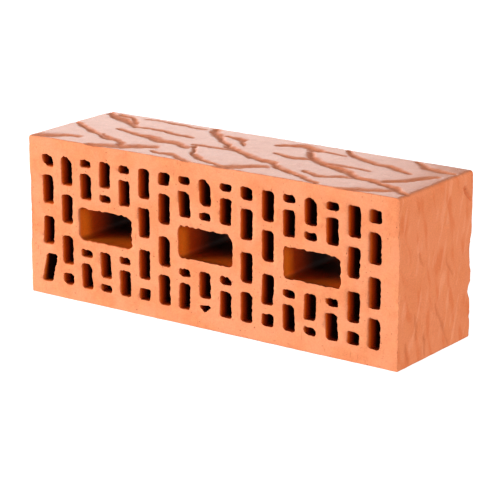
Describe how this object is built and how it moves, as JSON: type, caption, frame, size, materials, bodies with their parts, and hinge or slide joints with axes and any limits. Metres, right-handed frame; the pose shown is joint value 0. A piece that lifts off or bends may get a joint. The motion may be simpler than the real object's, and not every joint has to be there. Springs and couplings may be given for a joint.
{
  "type": "perforated clay facing brick",
  "caption": "Perforated clay facing brick with narrow slots, rectangular grip openings and a bark-textured stretcher, lying on its smooth stretcher.",
  "frame": {"origin": "middle of the smooth stretcher that the brick rests on", "axes": "+X along the length from header to header, +Z from the smooth stretcher up to the textured one, and the holes run along Y from bed face to bed face"},
  "size_m": [0.24, 0.071, 0.09],
  "materials": {
    "fired_clay": "matt fired terracotta, wire-cut on the bed faces, bark-textured on one stretcher and both headers"
  },
  "bodies": {
    "root": {"brick": "fired_clay"}
  },
  "joints": []
}
